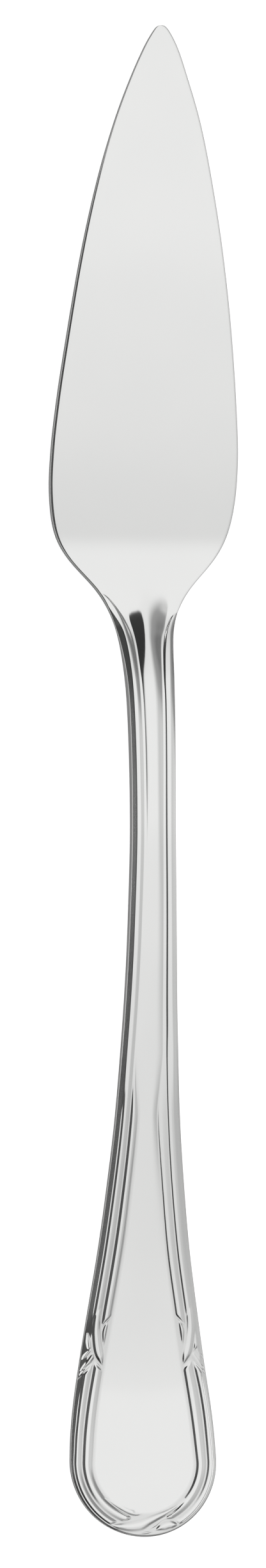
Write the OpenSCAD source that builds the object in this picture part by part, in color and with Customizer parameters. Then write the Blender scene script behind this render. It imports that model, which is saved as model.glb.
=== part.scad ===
// Fish knife in one piece of stainless steel, lying on its back with the blade's tip along +Y.
// It is drawn in four stretches that meet face to face: blade, neck, stem and handle end.

/* [Blade] */
// Length of the blade, from its tip to its heel
blade_l = 73.2; // [60:0.1:85]
// Reach of the blade to the left of the handle's middle line
blade_left = 12.9; // [11.5:0.05:15]
// Reach of the blade to the right of the handle's middle line
blade_right = 13.65; // [12:0.05:16]
// Distance of the tip to the right of the handle's middle line
tip_offset = 2.9; // [0:0.1:5]
// Width of the blunt at the very tip
tip_w = 0.3; // [0.1:0.05:0.8]
// Thickness of the blade at its tip
tip_t = 1.1; // [0.9:0.05:1.6]
// Thickness of the blade at its heel
blade_t = 1.75; // [1.3:0.05:2.5]
// Width of the blade across its heel
heel_w = 21.2; // [17:0.1:23]
// Width of the bevel ground along the left edge
bevel_w = 0.5; // [0.2:0.05:1]
// Depth of the bevel ground along the left edge
bevel_h = 0.6; // [0.2:0.05:0.8]
// Radius of the rounded right edge
edge_r = 0.3; // [0.1:0.05:0.5]

/* [Neck] */
// Length of the neck, from the blade's heel to the stem
neck_l = 20.3; // [15:0.1:30]
// Width of the neck where the stem starts
neck_w = 6.35; // [5.5:0.05:8]
// Thickness of the neck where the stem starts
neck_t = 4.3; // [3.4:0.05:5]
// Height of the rib along the middle of the neck, at its highest
neck_rib_h = 1.1; // [0.3:0.05:1.3]

/* [Stem] */
// Length of the stem, from the neck to the handle's end
stem_l = 48.5; // [35:0.1:65]
// Width of the stem at its narrowest
stem_w = 6.05; // [5.2:0.05:6.3]
// Thickness of the stem at the top of its arch
stem_t = 3.9; // [3:0.05:4.6]
// Height of the stem's underside at the top of its arch
arch_h = 6.15; // [3:0.05:9]
// Height of the rib along the middle of the stem
stem_rib_h = 0.3; // [0.1:0.05:0.8]

/* [Handle end] */
// Length of the handle's wide end, from the stem to its round tail
handle_l = 66; // [50:0.1:80]
// Width of the handle's end where the stem runs into it
root_w = 7.95; // [6.4:0.05:9]
// Thickness of the handle's end where the stem runs into it
root_t = 3.1; // [2.6:0.05:3.6]
// Width of the handle's end at its widest
handle_w = 20.5; // [17:0.1:24]
// Thickness of the handle's end at its widest
handle_t = 2.2; // [1.8:0.05:2.8]
// Height to which the tail turns up
tail_lift = 2.2; // [0:0.05:3]
// Height of the panel's crown between the reeds
crown_h = 0.2; // [0.05:0.05:0.5]

/* [Reeds] */
// Height of the reeds above their grooves
reed_h = 0.3; // [0.1:0.05:0.4]
// Width of the single reed along each side of the stem
stem_reed_w = 1.5; // [1:0.05:1.8]
// Width of the groove between that reed and the middle rib
groove_w = 0.15; // [0.1:0.05:0.4]
// Width of the outer reed of three round the handle's end
outer_reed_w = 0.65; // [0.3:0.05:0.9]
// Width of the middle reed of three
middle_reed_w = 0.95; // [0.6:0.05:1.4]
// Width of the inner reed of three
inner_reed_w = 1.5; // [0.8:0.05:1.8]
// How far the edge beside the reeds rounds over, sideways
side_run = 0.5; // [0.2:0.05:0.8]
// How far the edge beside the reeds rounds over, downwards
side_fall = 0.6; // [0.2:0.05:0.8]

/* [Ribbon ties] */
// Distance round the edge from the tail's middle to the tie on each side
tie_run = 32; // [26:0.5:38]
// Length over which the reeds cross in a tie
tie_l = 8; // [4:0.5:12]
// Length over which the reeds cross at the tail
tail_cross_l = 12; // [6:0.5:18]

/* [Hidden] */
LEFT = -1;
RIGHT = 1;

// Places along the knife, measured from the tip
heel_at = blade_l;
stem_at = heel_at + neck_l;
root_at = stem_at + stem_l;
overall_l = root_at + handle_l;
tail_r = handle_w / 2;
tail_at = overall_l - tail_r;
flank_l = tail_at - root_at;
middle_x = (blade_left - blade_right) / 2;

// Rows of points along each stretch, and round the tail
blade_rows = 40;
neck_rows = 24;
stem_rows = 20;
flank_rows = 60;
tail_rows = 44;
tip_crowding = 8;

function between(a, b, share) = a + (b - a) * share;
function clamp(v) = min(1, max(0, v));
function ease(v) = let(c = clamp(v)) c * c * (3 - 2 * c);

// A smooth curve through knots of [place, value], with no overshoot between them
function rise(knots, i) = (knots[i + 1][1] - knots[i][1]) / (knots[i + 1][0] - knots[i][0]);
function slope(knots, i) =
    i == 0 ? rise(knots, 0) :
    i == len(knots) - 1 ? rise(knots, i - 1) :
    let(a = rise(knots, i - 1), b = rise(knots, i))
    a * b <= 0 ? 0 : 2 * a * b / (a + b);
function span(knots, at) = max([0, for (i = [1:len(knots) - 2]) if (at >= knots[i][0]) i]);
function curve(knots, at) =
    let(
        i = span(knots, at),
        step = knots[i + 1][0] - knots[i][0],
        t = clamp((at - knots[i][0]) / step),
        keep = (1 + 2 * t) * (1 - t) * (1 - t),
        lead = t * (1 - t) * (1 - t),
        trail = t * t * (t - 1)
    )
    keep * knots[i][1] + (1 - keep) * knots[i + 1][1]
        + step * (lead * slope(knots, i) + trail * slope(knots, i + 1));

// Blade's reach: [share of its length, share of the left reach, share of the right reach],
// where 0 is the tip's offset and 1 the widest reach on that side
blade_shares = [
    [0.0127, 0.065, 0.1], [0.0488, 0.159, 0.222], [0.0969, 0.26, 0.332], [0.193, 0.428, 0.522],
    [0.29, 0.562, 0.654], [0.434, 0.716, 0.807], [0.579, 0.837, 0.914], [0.723, 0.942, 0.98],
    [0.805, 0.985, 1], [0.868, 1, 0.98], [0.916, 0.989, 0.935], [0.964, 0.945, 0.845]
];
// Neck's width: [share of its length, share of the way from the heel's width to the stem's]
neck_shares = [
    [0.087, 0.194], [0.173, 0.423], [0.26, 0.615], [0.347, 0.745], [0.434, 0.842],
    [0.52, 0.903], [0.65, 0.95], [0.82, 0.983]
];
// Handle's width: [share of the flank's length, share of the way from the root's width]
flank_shares = [
    [0.157, 0.086], [0.315, 0.218], [0.473, 0.38], [0.631, 0.592], [0.789, 0.806],
    [0.868, 0.911], [0.931, 0.97]
];
stem_waist_share = 0.33;
stem_swell_shares = [[0.63, 0.27], [0.82, 0.56]];

function side_reach(side) = side == LEFT ? blade_left : blade_right;
function tip_reach(side) = side * tip_offset + tip_w / 2;
function reach_knots(side) = concat(
    [[0, tip_reach(side)]],
    [for (p = blade_shares) [p[0] * blade_l, between(tip_reach(side), side_reach(side), p[side == LEFT ? 1 : 2])]],
    [[heel_at, heel_w / 2]],
    [for (p = neck_shares) [heel_at + p[0] * neck_l, between(heel_w, neck_w, p[1]) / 2]],
    [[stem_at, neck_w / 2]],
    [[stem_at + stem_waist_share * stem_l, stem_w / 2]],
    [for (p = stem_swell_shares) [stem_at + p[0] * stem_l, between(stem_w, root_w, p[1]) / 2]],
    [[root_at, root_w / 2]],
    [for (p = flank_shares) [root_at + p[0] * flank_l, between(root_w, handle_w, p[1]) / 2]],
    [[tail_at, handle_w / 2]]
);
// The reach is drawn against the root of the place, which keeps the tip round
left_knots = [for (k = reach_knots(LEFT)) [sqrt(k[0]), k[1]]];
right_knots = [for (k = reach_knots(RIGHT)) [sqrt(k[0]), k[1]]];
function reach(at, side) = curve(side == LEFT ? left_knots : right_knots, sqrt(at));

// Underside: [share of the stretch's length, share of the arch's height]
neck_under_shares = [[0, 0], [0.235, 0.073], [0.44, 0.211], [0.645, 0.415], [0.85, 0.634]];
stem_under_shares = [[0, 0.75], [0.045, 0.813], [0.217, 0.951], [0.388, 1], [0.645, 0.943], [0.903, 0.772]];
handle_under_shares = [[0, 0.69], [0.118, 0.553], [0.306, 0.317], [0.464, 0.138], [0.62, 0.016], [0.67, 0]];
tail_under_shares = [[0.78, 0.2], [0.874, 0.56], [1, 1]];
under_knots = concat(
    [[0, 0]],
    [for (p = neck_under_shares) [heel_at + p[0] * neck_l, p[1] * arch_h]],
    [for (p = stem_under_shares) [stem_at + p[0] * stem_l, p[1] * arch_h]],
    [for (p = handle_under_shares) [root_at + p[0] * handle_l, p[1] * arch_h]],
    [for (p = tail_under_shares) [root_at + p[0] * handle_l, p[1] * tail_lift]]
);
function under(at) = curve(under_knots, at);

// Thickness over the middle line, the middle rib included
thick_mid_share = 0.55;
neck_thick_shares = [[0.235, 0.2], [0.44, 0.5], [0.645, 0.82], [0.85, 1]];
thick_knots = concat(
    [[0, tip_t], [blade_l / 2, between(tip_t, blade_t, thick_mid_share)], [heel_at, blade_t]],
    [for (p = neck_thick_shares) [heel_at + p[0] * neck_l, between(blade_t, neck_t, p[1])]],
    [[stem_at + stem_waist_share * stem_l, stem_t], [root_at, root_t], [tail_at, handle_t], [overall_l, handle_t]]
);
function thick(at) = curve(thick_knots, at);

// Height of the middle rib, which fades into the handle's crowned panel
neck_rib_shares = [[0.28, 0], [0.42, 0.85], [0.56, 1], [0.74, 0.66], [0.85, 0.45]];
rib_fade_share = 0.3;
rib_knots = concat(
    [[0, 0]],
    [for (p = neck_rib_shares) [heel_at + p[0] * neck_l, p[1] * neck_rib_h]],
    [[stem_at + stem_waist_share * stem_l, stem_rib_h], [root_at + rib_fade_share * handle_l, crown_h]],
    [[overall_l, crown_h]]
);
function rib_h(at) = curve(rib_knots, at);

// The reeds rise along the neck
reeds_start_share = 0.25;
reeds_full_share = 0.5;
function reeded(at) = ease(((at - heel_at) / neck_l - reeds_start_share) / (reeds_full_share - reeds_start_share));

// Two more reeds open out of the stem's single one at the root of the handle's end
split_share = 0.2;
function split(at) = ease((at - root_at) / (split_share * handle_l));
function outer_w(at) = between(groove_w, outer_reed_w, split(at));
function reeds_w(at) = between(stem_reed_w, outer_reed_w + middle_reed_w, split(at));
function inner_w(at) = between(groove_w, inner_reed_w, split(at));

function arch_bump(v) = abs(v) >= 1 ? 0 : 1 - v * v;
function bead(d, low, high, h) = h * arch_bump((2 * d - low - high) / (high - low));

// Two strands lie in the middle and inner lanes, and change lanes in each tie and at the tail. This is
// how far a strand has changed at a distance round the edge from the tail's middle.
half_way_share = 0.5;
function crossed(run) =
    run < tie_run / 2
        ? ease(run / tail_cross_l + half_way_share)
        : ease((tie_run - run) / tie_l + half_way_share);

function strand(d, bands, share, h) =
    bead(d, between(bands[1], bands[2], share), between(bands[2], bands[3], share), h);
function reeds(d, bands, at, run) =
    let(h = reed_h * reeded(at), share = crossed(run), level = split(at))
    max(
        bead(d, bands[0], bands[1], h * level),
        strand(d, bands, share, h),
        strand(d, bands, 1 - share, h * level)
    );

function fall(d, at, side) =
    let(
        round_v = 1 - clamp(d / side_run),
        reed_fall = side_fall * (1 - sqrt(1 - round_v * round_v)),
        edge_v = 1 - clamp(d / edge_r),
        blade_fall = side == LEFT
            ? min(bevel_h, thick(at) / 2) * (1 - clamp(d / bevel_w))
            : edge_r * (1 - sqrt(1 - edge_v * edge_v))
    )
    between(blade_fall, reed_fall, reeded(at));

function floor_t(at) = thick(at) - rib_h(at);

// Place of a point by its distance along and across the knife
function place(at, x, z) = [middle_x + x, overall_l / 2 - at, z];

// A rib is [side, outer point, inner point, lean, run]: it goes from the edge to the middle
nudge_share = 0.0005;
function flank_rib(at, side) =
    let(
        nudge = overall_l * nudge_share,
        lean_slope = (reach(at + nudge, side) - reach(max(0, at - nudge), side)) / (2 * nudge),
        outer = side * reach(at, side),
        inner = (reach(at, RIGHT) - reach(at, LEFT)) / 2
    )
    [side, [at, outer], [at, inner], sqrt(1 + lean_slope * lean_slope), tail_r * PI / 2 + tail_at - at];
function tail_rib(angle) =
    [
        angle < 0 ? LEFT : RIGHT,
        [tail_at + tail_r * cos(angle), tail_r * sin(angle)],
        [tail_at, 0],
        1,
        tail_r * abs(angle) * PI / 180
    ];

function rib_length(rib) = norm(rib[2] - rib[1]);
function rib_point(rib, d) =
    let(share = min(1, d * rib[3] / rib_length(rib)))
    rib[1] + (rib[2] - rib[1]) * share;

// Distances from the edge at which one reed ends and the next starts, squeezed where the rib is short
band_most_share = 0.9;
function bands(rib) =
    let(
        at = rib[1][0],
        room = rib_length(rib) / rib[3],
        reeds_end = reeds_w(at),
        inner_end = reeds_end + inner_w(at),
        squeeze = min(1, room * band_most_share / inner_end)
    )
    [0, outer_w(at) * squeeze, reeds_end * squeeze, inner_end * squeeze, room];

function top_z(rib, d, bands) =
    let(
        point = rib_point(rib, d),
        at = point[0],
        foot = bands[3],
        past = max(0, d - foot) / (bands[4] - foot),
        rib_z = rib_h(at) * (1 - (1 - past) * (1 - past))
    )
    under(at) + floor_t(at) + rib_z + reeds(d, bands, at, rib[4]) - fall(d, at, rib[0]);

function top_point(rib, d, bands) = let(point = rib_point(rib, d)) place(point[0], point[1], top_z(rib, d, bands));
function under_point(rib, d, lift) =
    let(point = rib_point(rib, d))
    place(point[0], point[1], under(point[0]) + lift);

under_r_share = 0.25;
bow_share = 0.29;
bead_shares = [0.17, 0.5, 0.83];
panel_shares = [0.35, 0.7];
blade_land_shares = [0.5];

function in_band(low, high, shares) = [for (share = shares) between(low, high, share)];
function reeded_stops(b) = concat(
    [0, b[1] / 2, b[1]],
    in_band(b[1], b[2], bead_shares), [b[2]],
    in_band(b[2], b[3], bead_shares), [b[3]],
    in_band(b[3], b[4], panel_shares)
);
function blade_stops(rib) =
    let(room = rib_length(rib) / rib[3], edge = min(rib[0] == LEFT ? bevel_w : edge_r, room * band_most_share))
    concat([0, edge / 3, edge], in_band(edge, room, blade_land_shares));

// Points of one rib, from the underside's middle over the edge to the top's middle
function rib_points(rib, plain) =
    let(
        b = bands(rib),
        room = rib_length(rib) / rib[3],
        under_r = thick(rib[1][0]) * under_r_share,
        corner = min(under_r, room * band_most_share),
        stops = plain ? blade_stops(rib) : reeded_stops(b)
    )
    concat(
        [under_point(rib, room, 0), under_point(rib, corner, 0)],
        [under_point(rib, corner * bow_share, under_r * bow_share), under_point(rib, 0, under_r)],
        [for (d = stops) top_point(rib, d, b)],
        [top_point(rib, room, b)]
    );

// Solid skin over ribs that run down the left side and back up the right. Facing ribs share their
// middle points, and past the last row the ribs of a round tail share one pair of them.
module skin(left_ribs, tail_ribs, right_ribs) {
    rows = len(left_ribs);
    turn = len(tail_ribs);
    all_ribs = concat(left_ribs, tail_ribs, [for (i = [rows - 1:-1:0]) right_ribs[i]]);
    count = len(all_ribs);
    last = len(all_ribs[0]) - 1;
    own = last - 1;
    function row(j) = j < rows ? j : j < rows + turn ? rows - 1 : count - 1 - j;
    function index(j, m) =
        m == 0 ? count * own + row(j) :
        m == last ? count * own + rows + row(j) :
        j * own + m - 1;
    points = concat(
        [for (r = all_ribs) for (m = [1:own]) r[m]],
        [for (r = left_ribs) r[0]],
        [for (r = left_ribs) r[last]]
    );
    joins = [for (j = [0:count - 2]) if (turn > 0 || j != rows - 1) j];
    quads = [
        for (j = joins) for (m = [0:last - 1])
            [index(j, m), index(j, m + 1), index(j + 1, m + 1), index(j + 1, m)]
    ];
    sides = [
        for (q = quads) for (t = [[q[0], q[1], q[2]], [q[0], q[2], q[3]]])
            if (t[0] != t[1] && t[1] != t[2] && t[2] != t[0]) t
    ];
    // An end is a fan of triangles round the middle of the underside
    function fan(j) = [for (m = [1:last - 1]) [index(j, 0), index(j, m + 1), index(j, m)]];
    function flipped(faces) = [for (f = faces) [f[0], f[2], f[1]]];
    start_cap = concat(fan(0), flipped(fan(count - 1)));
    end_cap = concat(flipped(fan(rows - 1)), fan(rows));
    polyhedron(points = points, faces = concat(start_cap, turn > 0 ? [] : end_cap, sides), convexity = 8);
}

// Rows of a stretch, evenly spaced or crowded towards the tip
function even_rows(start, length, rows) = [for (i = [0:rows]) start + length * i / rows];
function crowd(i) = i * i / (i + tip_crowding);
function tip_rows(length, rows) = [for (i = [0:rows]) length * crowd(i) / crowd(rows)];
function side_ribs(rows, side, plain) = [for (at = rows) rib_points(flank_rib(at, side), plain)];
module stretch(rows, plain, tail_ribs = []) {
    skin(side_ribs(rows, LEFT, plain), tail_ribs, side_ribs(rows, RIGHT, plain));
}

module blade() {
    color("gainsboro")
    stretch(tip_rows(blade_l, blade_rows), true);
}

module neck() {
    color("silver")
    stretch(even_rows(heel_at, neck_l, neck_rows), false);
}

module stem() {
    color("lightgray")
    stretch(even_rows(stem_at, stem_l, stem_rows), false);
}

module handle_end() {
    turn = [for (i = [1:tail_rows - 1]) rib_points(tail_rib(180 * i / tail_rows - 90), false)];
    color("silver")
    stretch(even_rows(root_at, flank_l, flank_rows), false, turn);
}

blade();
neck();
stem();
handle_end();
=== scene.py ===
"""Fish knife in one piece of stainless steel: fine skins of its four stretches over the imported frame."""
import math

import bmesh
import bpy
import numpy as np
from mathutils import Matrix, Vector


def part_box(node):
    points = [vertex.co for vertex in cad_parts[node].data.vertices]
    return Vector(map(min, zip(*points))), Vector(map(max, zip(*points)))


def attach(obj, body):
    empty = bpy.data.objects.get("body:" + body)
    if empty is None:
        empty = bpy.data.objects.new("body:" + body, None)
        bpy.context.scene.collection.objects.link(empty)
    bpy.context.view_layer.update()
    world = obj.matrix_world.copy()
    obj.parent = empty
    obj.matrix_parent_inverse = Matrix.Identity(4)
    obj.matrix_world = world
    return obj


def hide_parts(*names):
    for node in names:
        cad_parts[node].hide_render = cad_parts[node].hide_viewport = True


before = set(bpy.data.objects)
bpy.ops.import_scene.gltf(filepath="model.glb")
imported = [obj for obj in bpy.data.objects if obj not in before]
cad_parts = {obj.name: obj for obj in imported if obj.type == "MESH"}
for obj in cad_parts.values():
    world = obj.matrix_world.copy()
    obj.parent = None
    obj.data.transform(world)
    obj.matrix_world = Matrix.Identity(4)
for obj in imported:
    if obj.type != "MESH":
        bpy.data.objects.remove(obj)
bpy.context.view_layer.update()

MM = 0.001
LEFT, RIGHT = -1, 1

# Sizes, in mm, with places measured from the blade's tip


def long_side(node):
    low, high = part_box(node)
    return (high.y - low.y) / MM


BLADE_L, NECK_L, STEM_L, HANDLE_L = (long_side(n) for n in ("blade", "neck", "stem", "handle_end"))
HEEL_AT = BLADE_L
STEM_AT = HEEL_AT + NECK_L
ROOT_AT = STEM_AT + STEM_L
OVERALL_L = ROOT_AT + HANDLE_L

# Blade: its reach to either side of the handle's middle line, its tip, its heel, the bevel ground along
# its left edge and the roundness of its right one
BLADE_LEFT, BLADE_RIGHT = 12.9, 13.65
TIP_OFFSET, TIP_W, TIP_T = 2.9, 0.3, 1.1
HEEL_W, BLADE_T = 21.2, 1.75
BEVEL_W, BEVEL_H, EDGE_R, EDGE_H = 0.36, 0.28, 0.45, 0.09
# Neck and stem: width, thickness and height of the middle rib
NECK_W, NECK_T, NECK_RIB_H = 6.35, 4.3, 1.1
STEM_W, STEM_T, STEM_RIB_H = 6.05, 3.9, 0.3
# Rise of the underside in the arch and at the tail
ARCH_H, TAIL_LIFT = 6.15, 2.2
# Handle's end: where the stem runs into it, where it is widest, and the crown of its panel
ROOT_W, ROOT_T = 7.95, 3.1
HANDLE_W, HANDLE_T, CROWN_H = 20.5, 2.2, 0.2
TAIL_R = HANDLE_W / 2
TAIL_AT = OVERALL_L - TAIL_R
FLANK_L = TAIL_AT - ROOT_AT
MIDDLE_X = (BLADE_LEFT - BLADE_RIGHT) / 2

# Reeds: their full height, the roll along the very edge, the stretch over which one reed becomes
# three, the stretch over which the slanting side beside them grows, and their starts
REED_H = 0.3
ROLL_W, ROLL_H = 0.03, 0.05
SPLIT_START, SPLIT_L = ROOT_AT - 2, 0.16 * HANDLE_L
SIDE_START, SIDE_FULL = HEEL_AT + 5.5, HEEL_AT + 10.5
REED_START_LEFT, REED_START_RIGHT = HEEL_AT + 4.8, HEEL_AT + 7.6
# Length round the tail over which the left side's values pass into the right side's
TURN_L = 10
# Share of the way to the middle that bands and corners may take at most
MOST_SHARE = 0.9


def between(a, b, share):
    return a + (b - a) * share


def ease(v):
    c = np.clip(v, 0.0, 1.0)
    return c * c * (3 - 2 * c)


# Smooth curves of size along the knife

SAMPLES = 6000
# Lengths over which the kinks of a curve are rounded
BROAD, SOFT, SOFT_SIDE, SLIGHT, CRISP, SHARP = 2.0, 1.0, 0.8, 0.5, 0.3, 0.15
# The same for the outline, as a share of its samples
OUTLINE_SOFT_SHARE = 0.005


def through(knots, at):
    """Value at each place of a curve through knots of [place, value], with no overshoot."""
    x, y = np.array(knots, float).T
    rise = np.diff(y) / np.diff(x)
    slope = np.concatenate([rise[:1], np.zeros(len(x) - 2), rise[-1:]])
    a, b = rise[:-1], rise[1:]
    same_way = a * b > 0
    slope[1:-1][same_way] = (2 * a * b / np.where(same_way, a + b, 1))[same_way]
    i = np.clip(np.searchsorted(x, at, side="right") - 1, 0, len(rise) - 1)
    step = x[i + 1] - x[i]
    t = np.clip((at - x[i]) / step, 0, 1)
    keep = (1 + 2 * t) * (1 - t) ** 2
    bend = step * (t * (1 - t) ** 2 * slope[i] + t * t * (t - 1) * slope[i + 1])
    return keep * y[i] + (1 - keep) * y[i + 1] + bend


def softened(values, window):
    """The same values with their kinks rounded over a window of samples, and the ends kept."""
    for _ in range(2):
        start = 2 * values[0] - values[window:0:-1]
        end = 2 * values[-1] - values[-2:-window - 2:-1]
        padded = np.concatenate([start, values, end])
        values = np.convolve(padded, np.full(2 * window + 1, 1 / (2 * window + 1)), "valid")
    return values


def along(knots, soft_mm):
    """Function of the place, drawn through knots and softened over so many mm."""
    grid = np.linspace(0, OVERALL_L, SAMPLES)
    values = softened(through(knots, grid), int(soft_mm / OVERALL_L * SAMPLES))
    return lambda at: np.interp(at, grid, values)


def outline(knots, soft):
    """The same against the root of the place, which keeps the tip round."""
    grid = np.linspace(0, math.sqrt(TAIL_AT), SAMPLES)
    rooted = [[math.sqrt(place), value] for place, value in knots]
    values = softened(through(rooted, grid), int(soft * SAMPLES))
    return lambda at: np.interp(np.sqrt(np.clip(at, 0, None)), grid, values)


def scaled(shares, start, length, low, high):
    """Knots over a stretch, from shares of its length and of the way from low to high."""
    return [[start + s * length, between(low, high, v)] for s, v in shares]


# Blade's reach on either side: [share of its length, share of the way from the tip's offset]
BLADE_LEFT_SHARES = [
    [0.0127, 0.065], [0.0488, 0.159], [0.0969, 0.26], [0.193, 0.428], [0.29, 0.562], [0.434, 0.716],
    [0.579, 0.837], [0.723, 0.942], [0.805, 0.985], [0.868, 1], [0.916, 0.989], [0.964, 0.945],
]
BLADE_RIGHT_SHARES = [
    [0.0127, 0.1], [0.0488, 0.222], [0.0969, 0.332], [0.193, 0.522], [0.29, 0.654], [0.434, 0.807],
    [0.579, 0.914], [0.723, 0.98], [0.805, 1], [0.868, 0.98], [0.916, 0.935], [0.964, 0.845],
]
# The same from the heel to the neck's end, from the stem's waist to the root and along the flank
NECK_SHARES = [
    [0.087, 0.194], [0.173, 0.423], [0.26, 0.615], [0.347, 0.745], [0.434, 0.842], [0.52, 0.903],
    [0.65, 0.95], [0.82, 0.983],
]
STEM_SWELL_SHARES = [[0.63, 0.27], [0.82, 0.56]]
FLANK_SHARES = [
    [0.157, 0.086], [0.315, 0.218], [0.473, 0.38], [0.631, 0.592], [0.789, 0.806], [0.868, 0.911],
    [0.931, 0.97], [0.975, 0.995],
]
# Where the stem is narrowest
STEM_WAIST_AT = STEM_AT + 0.33 * STEM_L


def reach_knots(side):
    """Knots of the outline: how far one side reaches from the knife's middle line at each place."""
    tip = side * TIP_OFFSET + TIP_W / 2
    widest = BLADE_LEFT if side == LEFT else BLADE_RIGHT
    shares = BLADE_LEFT_SHARES if side == LEFT else BLADE_RIGHT_SHARES
    return (
        [[0, tip]]
        + scaled(shares, 0, BLADE_L, tip, widest)
        + [[HEEL_AT, HEEL_W / 2]]
        + scaled(NECK_SHARES, HEEL_AT, NECK_L, HEEL_W / 2, NECK_W / 2)
        + [[STEM_AT, NECK_W / 2], [STEM_WAIST_AT, STEM_W / 2]]
        + scaled(STEM_SWELL_SHARES, STEM_AT, STEM_L, STEM_W / 2, ROOT_W / 2)
        + [[ROOT_AT, ROOT_W / 2]]
        + scaled(FLANK_SHARES, ROOT_AT, FLANK_L, ROOT_W / 2, HANDLE_W / 2)
        + [[TAIL_AT, HANDLE_W / 2]]
    )


reach_of = {side: outline(reach_knots(side), OUTLINE_SOFT_SHARE) for side in (LEFT, RIGHT)}

under = along(
    [[0, 0]]
    + scaled([[0, 0], [0.235, 0.073], [0.44, 0.211], [0.645, 0.415], [0.85, 0.634]],
             HEEL_AT, NECK_L, 0, ARCH_H)
    + scaled([[0, 0.75], [0.045, 0.813], [0.217, 0.951], [0.388, 1], [0.645, 0.943], [0.903, 0.772]],
             STEM_AT, STEM_L, 0, ARCH_H)
    + scaled([[0, 0.69], [0.118, 0.553], [0.306, 0.317], [0.464, 0.138], [0.62, 0.016], [0.67, 0]],
             ROOT_AT, HANDLE_L, 0, ARCH_H)
    + scaled([[0.78, 0.2], [0.874, 0.56], [1, 1]], ROOT_AT, HANDLE_L, 0, TAIL_LIFT),
    BROAD,
)
# How far the blade has reached its full thickness halfway along
THICK_MID_SHARE = 0.7
thick = along(
    [[0, TIP_T], [BLADE_L / 2, between(TIP_T, BLADE_T, THICK_MID_SHARE)], [HEEL_AT, BLADE_T]]
    + scaled([[0.235, 0.2], [0.44, 0.5], [0.645, 0.82], [0.85, 1]], HEEL_AT, NECK_L, BLADE_T, NECK_T)
    + [[STEM_WAIST_AT, STEM_T], [ROOT_AT, ROOT_T], [TAIL_AT, HANDLE_T], [OVERALL_L, HANDLE_T]],
    BROAD,
)
# Share of the thickness that the round under either edge takes
under_round = along(
    [[0, 0.25], [HEEL_AT, 0.25], [HEEL_AT + 8, 0.42], [TAIL_AT - 10, 0.42], [OVERALL_L, 0.35]], BROAD)


def by_side(left, right):
    """A pair of values or curves, one for each side of the knife."""
    return {LEFT: left, RIGHT: right}


# Share of the handle's end over which the rib runs out
RIB_FADE_SHARE = 0.3


def rib_height(neck_shares):
    """Height of the rib over its feet, which runs out into the crown of the handle."""
    return along(
        [[0, 0]] + scaled(neck_shares, HEEL_AT, NECK_L, 0, NECK_RIB_H)
        + [[STEM_AT + 8, 0.34], [STEM_WAIST_AT, STEM_RIB_H], [STEM_AT + 27, 0.24], [ROOT_AT, 0.22],
           [ROOT_AT + RIB_FADE_SHARE * HANDLE_L, CROWN_H], [OVERALL_L, CROWN_H]],
        CRISP,
    )


rib_h = by_side(
    rib_height([[0.19, 0], [0.236, 0.09], [0.286, 0.33], [0.335, 0.61], [0.384, 0.89], [0.434, 0.98],
                [0.483, 0.95], [0.532, 0.86], [0.581, 0.75], [0.655, 0.62], [0.73, 0.49],
                [0.83, 0.37], [1, 0.33]]),
    rib_height([[0.16, 0], [0.22, 0.09], [0.28, 0.3], [0.335, 0.58], [0.384, 0.82], [0.434, 0.9],
                [0.483, 0.85], [0.532, 0.76], [0.581, 0.67], [0.655, 0.56], [0.73, 0.46],
                [0.83, 0.37], [1, 0.33]]),
)


def from_start(start, knots):
    """The same knots, whose places were given from a start."""
    return [[start + place, value] for place, value in knots]


def on_handle(knots):
    """Knots given from the root of the handle, with the last value kept up to its end."""
    return from_start(ROOT_AT, knots) + [[OVERALL_L, knots[-1][1]]]


# Distance from the edge of the groove between outer and middle reed, and of the end of the middle
# reed, which is the only one up to the root
outer_groove = along(
    [[0, 0.5]] + on_handle([[-4, 0.5], [8.8, 0.6], [17.6, 0.64], [26.4, 0.64], [37, 0.6], [48.4, 0.5],
                            [52.8, 0.43], [57.2, 0.36]]), SOFT)
reed_end = by_side(
    along([[0, 0.02]]
          + from_start(REED_START_LEFT, [[0, 0.02], [0.7, 0.6], [2.4, 1.2], [4, 1.6], [6.7, 1.85]])
          + [[STEM_AT - 4.3, 1.68], [STEM_AT, 1.62]]
          + on_handle([[0, 1.72], [8.8, 1.75], [17.6, 1.84], [26.4, 1.86], [38, 1.84], [48.4, 1.6],
                       [52.8, 1.5], [57.2, 1.45]]), SHARP),
    along([[0, 0.02]]
          + from_start(REED_START_RIGHT, [[0, 0.02], [0.6, 0.65], [3.8, 1.38], [6, 1.56], [9, 1.6]])
          + [[STEM_AT, 1.52], [STEM_AT + 20, 1.52], [ROOT_AT - 5, 1.72]]
          + on_handle([[0, 1.84], [8.8, 1.88], [17.6, 1.94], [26.4, 1.92], [38, 1.86], [42, 1.75],
                       [46.4, 1.46], [49.3, 1.42], [52.8, 1.45], [57.2, 1.45]]), SHARP),
)
# Distance from the edge at which the rib starts, and further on the plain middle of the handle
TAIL_MIDDLE = [[48.4, 3.2], [52.8, 3.15], [57.2, 3.0]]
middle_start = by_side(
    along([[0, 0.25], [REED_START_LEFT, 0.25], [REED_START_LEFT + 4, 2.0], [REED_START_LEFT + 6, 2.08],
           [STEM_AT - 4.3, 1.86], [STEM_AT + 1, 1.86], [STEM_AT + 20, 1.86]]
          + on_handle([[-1, 1.9], [3, 2.2], [8.8, 2.95], [17.6, 3.15], [26.4, 3.3], [38, 3.26]]
                      + TAIL_MIDDLE), CRISP),
    along([[0, 0.25], [REED_START_RIGHT, 0.3], [REED_START_RIGHT + 3.8, 1.62],
           [REED_START_RIGHT + 6, 1.72], [STEM_AT + 20, 1.76]]
          + on_handle([[-1, 2.1], [3, 2.6], [8.8, 3.33], [17.6, 3.3], [26.4, 3.34], [38, 3.28]]
                      + TAIL_MIDDLE), CRISP),
)
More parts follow.
